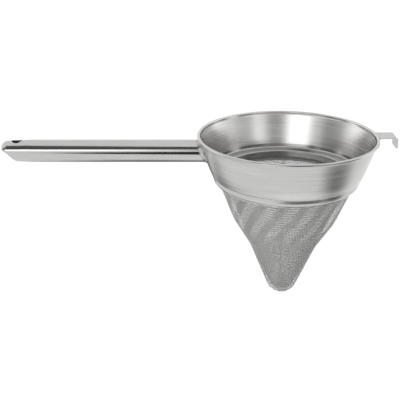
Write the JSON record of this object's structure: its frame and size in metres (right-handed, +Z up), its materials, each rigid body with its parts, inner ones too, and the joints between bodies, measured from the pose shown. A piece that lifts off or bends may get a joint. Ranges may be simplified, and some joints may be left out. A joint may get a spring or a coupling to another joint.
{
  "type": "chinois strainer",
  "caption": "Conical fine-mesh kitchen strainer: spun steel collar with a rolled rim, mesh cone inside a coarser guard cone, tubular handle and pot hook.",
  "frame": {"origin": "centre of the rim, on the cone's axis, at the middle of the rim bead", "axes": "+Z up along the cone's axis out of the mouth, the handle points along -X and the pot hook along +X"},
  "size_m": [0.4368, 0.2, 0.1929],
  "materials": {
    "spun_steel": "satin, brushed round the axis by spinning",
    "wire_steel": "drawn wire and rolled strip, dull",
    "mesh_steel": "woven wire, bright drawn",
    "polished_steel": "polished, with a faint brushing along the tube",
    "weld_steel": "ground weld",
    "strip_steel": "satin rolled strip"
  },
  "bodies": {
    "root": {"collar": "spun_steel", "rim_wire": "wire_steel", "seat_ring": "spun_steel", "guard_mesh": "mesh_steel", "guard_mesh_hoop": "wire_steel", "fine_mesh": "mesh_steel", "fine_mesh_hoop": "wire_steel", "handle_tube": "polished_steel", "handle_weld": "weld_steel", "pot_hook": "strip_steel", "hook_weld": "weld_steel"}
  },
  "joints": []
}
